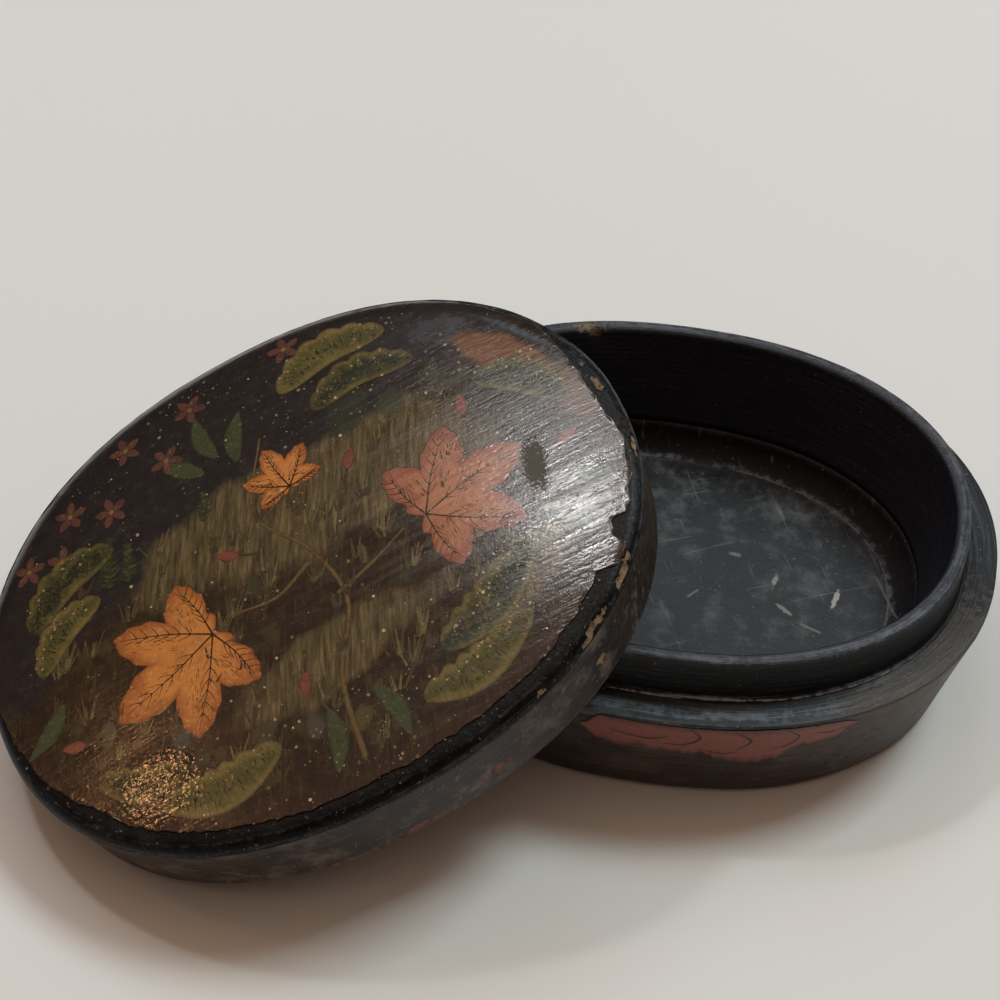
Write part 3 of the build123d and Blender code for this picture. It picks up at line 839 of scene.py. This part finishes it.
def make_film():
    """The thin painted skin on the lid's top, its ragged edge standing a little off the black ground."""
    turns = 1440
    rims = [max(film_edge(360 * k / turns), 0.6) for k in range(turns)]

    def point(row, k):
        share, step, drop = row
        turn = 360 * k / turns
        at_edge = share == 1
        inset = rims[k] + step if at_edge else 0
        x, y = oval(tau * k / turns, inset)
        x, y = x * share, y * share
        past = inset - rims[k]
        lip = tear = 0
        if at_edge:
            lip = 0.16 * max(0, 1 - past / 0.5) * max(0, noise.noise(Vector((x, y, 0)) / 1.7) + 0.15)
            lift = tear_and_highlight_at(turn)
            tear = lift * max(0, 1 - past / (0.25 + 0.55 * lift))
        surface = dome_height(x, y, turn, inset) if at_edge else dome_height(x, y)
        height = surface - GROUND_DROP + FILM_THICKNESS * (1 - drop) + lip
        return on_lid(x, y, height) * MM, (1 - share) * 50 + inset, tear

    rows = [(share, 0, 0) for share in (0, 0.15, 0.3, 0.45, 0.58, 0.69, 0.78, 0.84)]
    rows += [(1, step, 0) for step in (4.2, 3.2, 2.4, 1.7, 1.1, 0.7, 0.4, 0.2, 0.07)]
    rows += [(1, 0, 0.25), (1, 0.03, 1.25), (1, 5, 1.25), (0, 0, 1.25)]
    points, faces, edge, torn = skin(rows, turns, point)
    piece = build("painted_film", points, faces, {"edge": edge, "torn": torn})
    piece.data.materials.append(picture_ground())
    ride_on_lid(piece)


def ride_on_lid(piece):
    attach(piece, "lid")


# ======== the painted design
def on_picture(x, y, lift):
    """A point on the painted film, x along the lid and y across it, lift in mm above the film."""
    return on_lid(x, y, dome_height(x, y) - GROUND_DROP + FILM_THICKNESS + lift) * MM


def new_pot():
    return {"points": [], "faces": [], "inner": [], "along": [], "brink": []}


def put(pot, place, inner, along, brink):
    """Adds one point to a pot, with how far in it is, how far along its mark and how far from its edge in mm."""
    for label, value in (("points", place), ("inner", inner), ("along", along), ("brink", brink)):
        pot[label].append(value)


def lattice(pot, start, rows, columns, turned_round=False):
    """The faces of a grid of points laid row by row."""
    for i in range(rows):
        for j in range(columns):
            a = start + i * (columns + 1) + j
            b = a + columns + 1
            pot["faces"].append((a, b, b + 1, a + 1) if turned_round else (a, a + 1, b + 1, b))


def unit(angle):
    """A flat direction; angle in radians."""
    return Vector((cos(angle), sin(angle)))


def crosswise(way):
    return Vector((-way.y, way.x))


def curve_through(places_on_line, shares):
    """A smooth line through a few points of the plane, Catmull-Rom, at the given shares of its length."""
    pins = [Vector(p) for p in places_on_line]
    pins = [pins[0] * 2 - pins[1]] + pins + [pins[-1] * 2 - pins[-2]]
    line = []
    spans = len(pins) - 3
    for share in shares:
        run = min(share * spans, spans - 1e-6)
        k, t = int(run), run - int(run)
        a, b, c, d = pins[k:k + 4]
        line.append(0.5 * (2 * b + (c - a) * t + (2 * a - 5 * b + 4 * c - d) * t * t
                           + (3 * b - a - 3 * c + d) * t ** 3))
    return line


def stroke(pot, spine, half_width, lift, surface=on_picture, steps=16, sides=4, scallops=0, scallop=0,
           blunt=False):
    """One brush mark along a spine; half_width gives its half width in mm for a share of its length.

    A blunt mark has more points near its two ends, so that they come out round."""
    shares = [0.5 - 0.5 * cos(pi * i / steps) if blunt else i / steps for i in range(steps + 1)]
    line = curve_through(spine, shares)
    start = len(pot["points"])
    for i, here in enumerate(line):
        t = shares[i]
        across = crosswise((line[min(i + 1, steps)] - line[max(i - 1, 0)]).normalized())
        half = half_width(t)
        for j in range(sides + 1):
            s = 2 * j / sides - 1
            wave = 1 + scallop * abs(sin(pi * scallops * t)) if s > 0 else 1
            place = here + across * s * half * wave
            put(pot, surface(place.x, place.y, lift), 1 - s * s, t, (1 - abs(s)) * half)
    lattice(pot, start, steps, sides)


def spread(pot, centre, reach, lift, spokes=120, rings=7, turn=0):
    """A leaf or flower face round a centre; reach gives its radius in mm for an angle in radians."""
    start = len(pot["points"])
    put(pot, on_picture(*centre, lift), 1, 0, 3)
    for r in range(1, rings + 1):
        share = (r / rings) ** 0.8
        for k in range(spokes):
            angle = tau * k / spokes
            length = reach(angle)
            x = centre[0] + cos(angle + turn) * length * share
            y = centre[1] + sin(angle + turn) * length * share
            put(pot, on_picture(x, y, lift), 1 - share ** 2, k / spokes, (1 - share) * length)
    for k in range(spokes):
        n = (k + 1) % spokes
        pot["faces"].append((start, start + 1 + k, start + 1 + n))
        for a in range(start + 1, start + 1 + (rings - 1) * spokes, spokes):
            b = a + spokes
            pot["faces"].append((a + k, b + k, b + n, a + n))


def face_out(piece, outward):
    """Turns a painted piece's faces outwards; outward gives that direction for a face."""
    work = bmesh.new()
    work.from_mesh(piece.data)
    for face in work.faces:
        if face.normal.dot(outward(face)) < 0:
            face.normal_flip()
    work.to_mesh(piece.data)
    work.free()


def finish_pot(name, pot, material, outward=lambda face: LID_UP):
    """Turns a pot of marks into one piece."""
    piece = build(name, pot["points"], pot["faces"],
                  {label: pot[label] for label in ("inner", "along", "brink")}, outward=False)
    face_out(piece, outward)
    piece.data.materials.append(material)
    return piece


def leaf_lobes(size, lobes):
    """The outline of a broad lobed leaf: (angle in degrees, share of the size, half spread in degrees) a lobe."""
    def reach(angle):
        heading = degrees(angle)
        best = 0.36 - 0.14 * ease(abs((heading + 180) % 360 - 180), 150, 180)
        for at, length, spread_of in lobes:
            away = abs((heading - at + 180) % 360 - 180) / spread_of
            if away < 1:
                body = 0.36 + (length - 0.36) * (1 - away) ** 0.66
                tooth = 0.05 * length * sin(pi * away) * (abs((away * 2.6 + 0.2) % 1 - 0.5) * 2 - 0.5)
                best = max(best, body + tooth)
        return size * best
    return reach


def big_leaf(pot, lines, centre, size, heading):
    """A large lobed leaf with its drawn veins and short hatching."""
    turn = radians(heading)
    spread(pot, centre, leaf_lobes(size, CHINAR), 0.012, spokes=288, rings=9, turn=turn)
    centre = Vector(centre)
    root = centre - unit(turn) * size * 0.18
    for at, length, _ in CHINAR:
        way = unit(turn + radians(at))
        tip = centre + way * size * length * 0.9
        bend = (root + tip) / 2 + crosswise(way) * size * 0.03 * (1 if at >= 0 else -1)
        stroke(lines, [root, bend, tip], lambda t: 0.16 * (1 - 0.75 * t), 0.024, steps=18, sides=1)
        for k in range(2, 8):
            share = k / 8.5
            here = root.lerp(bend, share * 2) if share < 0.5 else bend.lerp(tip, share * 2 - 1)
            for side in (-1, 1):
                veer = radians(38) * side
                off = Vector((way.x * cos(veer) - way.y * sin(veer),
                              way.x * sin(veer) + way.y * cos(veer)))
                stroke(lines, [here, here + off * size * 0.075, here + off * size * 0.13 + way * size * 0.02],
                       lambda t: 0.085 * (1 - 0.7 * t), 0.024, steps=5, sides=1)
    hatch = random.Random(int(size * 10))
    for _ in range(int(size * 9)):
        lobe, length, spread_of = hatch.choice(CHINAR)
        way = unit(turn + radians(lobe + hatch.uniform(-0.45, 0.45) * spread_of))
        here = centre + way * size * hatch.uniform(0.22, 0.72) * length
        stroke(lines, [here, here + way * 0.4, here + way * hatch.uniform(0.6, 1.2)],
               lambda t: 0.045 * (1 - 0.6 * t), 0.024, steps=3, sides=1)


def small_flower(pot, hearts, centre, size, heading):
    """A little flower: five petals round a dot."""
    here = Vector(centre)
    for k in range(5):
        way = unit(radians(heading) + tau * k / 5)
        stroke(pot, [here + way * size * 0.16, here + way * size * 0.6, here + way * size],
               lambda t: size * 0.27 * sin(pi * (0.12 + 0.86 * t)) ** 0.7, 0.012, steps=8, sides=4)
    spread(hearts, centre, lambda a: size * 0.17, 0.02, spokes=10, rings=2)


def comb_leaf(pot, spine, width, shade, lights, dots, chance):
    """A long soft leaf with a scalloped back, dark hatching along its middle, light touches and a row of dots."""
    stroke(pot, spine, lambda t: width * max(sin(pi * t), 0) ** 0.48, 0.014,
           steps=72, sides=10, scallops=6, scallop=0.28, blunt=True)
    shares = [i / 60 for i in range(61)]
    line = curve_through(spine, shares)
    for _ in range(int(15 * width)):
        k = chance.randint(5, 55)
        way = (line[k + 1] - line[k - 1]).normalized()
        across = crosswise(way)
        half = width * sin(pi * shares[k]) ** 0.48
        for touches, low, high, thick in ((shade, -0.45, 0.45, 0.10), (lights, 0.25, 0.8, 0.13)):
            side = chance.uniform(low, high)
            run = half * chance.uniform(0.18, 0.36)
            here = line[k] + across * side * half + way * chance.uniform(-0.4, 0.4)
            lean = across + way * chance.uniform(-0.25, 0.25)
            stroke(touches, [here - lean * run / 2, here, here + lean * run / 2],
                   lambda t: thick * (1 - 0.7 * abs(2 * t - 1)), 0.022, steps=3, sides=1)
        if chance.random() < 0.38:
            at = line[k] + across * half * chance.uniform(0.2, 1.1)
            size = 0.10 + 0.16 * chance.random() ** 2
            spread(dots, at, lambda angle: size, 0.03, spokes=8, rings=1)


def tuft(tall, pots, centre, chance):
    """A fan of grass blades that lean a little apart, some tipped with a pale touch."""
    for _ in range(chance.randint(4, 9)):
        lean = chance.gauss(0, 11)
        way = unit(radians(UPRIGHT - lean))
        here = Vector(centre) + Vector((lean * 0.035 + chance.uniform(-0.3, 0.3), chance.uniform(-0.3, 0.3)))
        length = tall * chance.uniform(0.55, 1.1)
        thick = chance.uniform(0.15, 0.28)
        stroke(chance.choice(pots), [here, here + way * length * 0.5, here + way * length],
               lambda t: thick * (1 - 0.6 * t), 0.008 + 0.004 * chance.random(), steps=4, sides=1)


def cypress(pot, lights, foot, tall, wide, chance):
    """A little cypress built of short feathered strokes on both sides of its stem."""
    up = unit(radians(UPRIGHT + 4))
    out = crosswise(up)
    levels = int(tall * 2.6)
    for k in range(levels):
        share = k / levels
        reach = wide * min(1, 0.35 + share * 3.2) * (1 - share) ** 0.75 + 0.15
        for side in (-1, -0.45, 0.45, 1):
            here = Vector(foot) + up * tall * (share + chance.uniform(-0.02, 0.02))
            tip = here + out * side * reach * chance.uniform(0.75, 1.1) + up * chance.uniform(0.1, 0.9)
            stroke(lights if chance.random() < 0.22 else pot, [here, here.lerp(tip, 0.55) - up * 0.15, tip],
                   lambda t: 0.24 * (1 - 0.65 * t), 0.009 + 0.003 * chance.random(), steps=4, sides=1)


def make_picture():
    """A traditional all-over design of chinar leaves, comb leaves, cypresses, flowers, buds and grasses."""
    chance = random.Random(7)
    pots = {name: new_pot() for name, *_ in PIGMENTS}
    stems, lines, lights, green = [pots[name] for name in ("stem_strokes", "drawn_lines", "light_touches",
                                                           "green_leaves")]
    for spine, thick, taper, steps in STEMS:
        stroke(stems, spine, lambda t: thick - taper * t, 0.006, steps=steps, sides=2)
    for name, centre, size, heading in BIG_LEAVES:
        big_leaf(pots[name], lines, centre, size, heading)
    for name, width, *spine in COMB_LEAVES:
        comb_leaf(pots[name], spine, width, pots["dark_hatching"], lights, pots["comb_dots"], chance)
    for foot, tall, wide in CYPRESSES:
        cypress(green, lights, foot, tall, wide, chance)
    for *here, heading in NARROW_LEAVES:
        way, here = unit(radians(heading)), Vector(here)
        stroke(green, [here, here + way * 5 + crosswise(way) * 0.8, here + way * 10.5],
               lambda t: 1.7 * sin(pi * (0.08 + 0.90 * t)) ** 0.9, 0.010, steps=20, sides=6)
    for k, centre in enumerate(FLOWERS):
        small_flower(pots["russet_flowers"], pots["flower_hearts"], centre, 3.1, k * 23)
    for *here, heading in BUDS:
        way, here = unit(radians(heading)), Vector(here)
        stroke(pots["red_buds"], [here, here + way * 2, here + way * 4],
               lambda t: 1.1 * sin(pi * (0.1 + 0.86 * t)), 0.014, steps=12, sides=6)
        stroke(stems, [here - way * 4, here - way * 1.5, here], lambda t: 0.22, 0.006, steps=6, sides=1)
    for _ in range(GRASS_BLADES + TUFTS):
        x, y = chance.uniform(-52, 50), chance.uniform(-42, 14)
        if (x / 52) ** 2 + (y / 42) ** 2 < 0.9 and x < 33:
            bright = chance.random() < TUFTS / (GRASS_BLADES + TUFTS)
            tuft(*((4.2, (lights, lights, pots["grass_tips"])) if bright else (3, (pots["grass_strokes"],))),
                 (x, y), chance)
    for name, finish, heart, body, edge, extras in PIGMENTS:
        ride_on_lid(finish_pot(name, pots[name], pigment(finish, heart, body, edge, **extras)))
    sprinkle_specks()
    paint_side_patch()


def sprinkle_specks():
    """Cream and gold specks flicked from a brush, many at the lid's far end and along its near side."""
    spokes = 180

    def point(row, k):
        x, y = oval(tau * k / spokes)
        x, y = x * row[0], y * row[0]
        patchy = 0.2 + 2.2 * max(0, noise.noise(Vector((x, y, 3)) / 7) + 0.05)
        glossy_end = ease(x, 28, 38) * (1 - ease(y, -6, 6))
        return on_picture(x, y, SPECK_LIFT), (
            patchy * (1 - 0.85 * glossy_end)
            * (0.5 + 1.6 * ease(x * 0.5 + y, 16, 42) + 1.5 * ease(x * 0.3 - y, 16, 38)))

    points, faces, spray = skin([(share,) for share in (0, 0.1, 0.2, 0.3, 0.4, 0.5, 0.6, 0.7, 0.78, 0.85, 0.90,
                                                        0.94)], spokes, point)
    sheet = build("speck_sheet", points, faces, {"spray": spray}, outward=False)
    face_out(sheet, lambda face: LID_UP)

    tree = bpy.data.node_groups.new("flicked specks", "GeometryNodeTree")
    add = partial(node, tree)
    tree.interface.new_socket("Geometry", in_out="INPUT", socket_type="NodeSocketGeometry")
    ids = {label: tree.interface.new_socket(label, in_out="INPUT", socket_type="NodeSocketFloat").identifier
           for label in ("Specks a square metre", "Smallest", "Largest")}
    tree.interface.new_socket("Geometry", in_out="OUTPUT", socket_type="NodeSocketGeometry")
    given = add("NodeGroupInput").node.outputs
    thick = add("MULTIPLY", add("GeometryNodeInputNamedAttribute", Name="spray", data_type="FLOAT"),
                given["Specks a square metre"])
    dots = add("GeometryNodeDistributePointsOnFaces", Mesh=given["Geometry"], Density=thick, Seed=11).node.outputs
    chance = add("FunctionNodeRandomValue", Seed=5, data_type="FLOAT", out="Value")
    skew = add("POWER", chance, 4.5)
    size = add("MapRange", skew, None, None, given["Smallest"], given["Largest"])
    disc = add("GeometryNodeMeshCircle", Vertices=7, Radius=1, fill_type="NGON")
    placed = add("GeometryNodeInstanceOnPoints", Points=dots["Points"], Instance=disc, Rotation=dots["Rotation"],
                 Scale=size)
    coat = add("GeometryNodeSetMaterial", Geometry=add("GeometryNodeRealizeInstances", placed),
               Material=speck_paint())
    add("NodeGroupOutput", Geometry=coat)

    scatter = sheet.modifiers.new("specks", "NODES")
    scatter.node_group = tree
    for label, value in (("Specks a square metre", SPECK_DENSITY), ("Smallest", SMALLEST_SPECK * MM),
                         ("Largest", LARGEST_SPECK * MM)):
        scatter[ids[label]] = value
    flat = bpy.data.meshes.new_from_object(sheet.evaluated_get(bpy.context.evaluated_depsgraph_get()))
    specks = bpy.data.objects.new("flicked_specks", flat)
    bpy.context.scene.collection.objects.link(specks)
    bpy.data.objects.remove(sheet)
    face_out(specks, lambda face: LID_UP)
    ride_on_lid(specks)


def speck_paint():
    """Thick cream and pale gold tempera dots, some nearly rubbed away under the varnish."""
    made, add, shader, where = start_finish("specks, cream tempera")
    local = lid_plane(add, where)
    which = add("TexVoronoi", Vector=local, Scale=1.1, out="Color")
    tint = add("ValToRGB", add("SeparateColor", which),
               ramp=[(0, "#463D2C"), (0.5, "#665A40"), (0.8, "#877858"), (1, "#B5A787")])
    varnish(add, shader, local, tint)
    return made


def paint_side_patch():
    """What is left of the painted side band: a worn terracotta field with thin drawn curls."""
    field, curls = new_pot(), new_pot()

    def on_side(x, y, lift):
        return on_wall(270 + x / MM_A_DEGREE, y, lift + 0.02) * MM

    rows, columns = 90, 10
    for i in range(rows + 1):
        x = -5.5 + 37.5 * i / rows
        top = 23.1 + 0.25 * noise.noise(Vector((x * 1.3, 2, 0))) - 0.5 * ease(x, 26, 32)
        low = 14.6 - 2.5 * ease(x, 8, 16) + 5 * ease(x, 19, 24) + 3 * ease(x, 27, 32)
        low += 1.4 * noise.noise(Vector((x * 0.5, 5, 0))) + 1 * noise.noise(Vector((x * 1.4, 9, 0)))
        low += 0.5 * noise.noise(Vector((x * 4, 1, 0)))
        pinch = ease(x, -5.5, -3) * (1 - ease(x, 29.5, 32))
        middle = (top + low) / 2
        for j in range(columns + 1):
            share = j / columns
            y = middle + (low + (top - low) * share - middle) * (0.12 + 0.88 * pinch)
            put(field, on_side(x, y, 0.01), min(1, 4 * share * (1 - share)), i / rows,
                min(share, 1 - share) * max(top - low, 0.1))
    lattice(field, 0, rows, columns, turned_round=True)
    for spine in SIDE_CURLS:
        stroke(curls, spine, lambda t: 0.24 * (1 - 0.6 * abs(2 * t - 1)), 0.03, surface=on_side, steps=20, sides=1)
    for name, pot, finish, *tones in (
            ("side_painted_field", field, "painted side, worn terracotta tempera", "#723E35", "#84493E", "#4A2823"),
            ("side_drawn_curls", curls, "drawn curls, brown ink", "#33201B", "#33201B", "#2A1916")):
        piece = finish_pot(name, pot, side_paint(finish, *tones),
                           lambda face: Vector((*face.calc_center_median().xy, 0)))
        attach(piece, "box")


def side_paint(name, body, pale, edge):
    """Tempera on the side wall, thin and rubbed: dull terracotta that breaks up along its edges."""
    made, add, shader, where = start_finish(name)
    mm = in_mm(add, where)
    blotch = add("TexNoise", Vector=mm, Scale=0.35, Detail=6, Roughness=0.65)
    shift = add("MULTIPLY_ADD", blotch, 0.8, add("Attribute", attribute_name="inner", out="Fac"))
    tone = add("ValToRGB", shift, ramp=[(0.35, edge), (0.8, body), (1.25, pale)])
    rub = add("TexNoise", Vector=mm, Scale=1.1, Detail=5, Roughness=0.7)
    grain = add("TexNoise", Vector=mm, Scale=1.3, Detail=6, Roughness=0.65)
    wire(shader, lay_over(add, tone, rub, "#4E3A34", 0.54, 0.68, 0, 0.7), 0.5,
         add("Bump", Height=grain, Distance=0.05 * MM))
    return made


set_up_camera()
light_the_table()
make_box()
make_lid()
make_film()
make_picture()
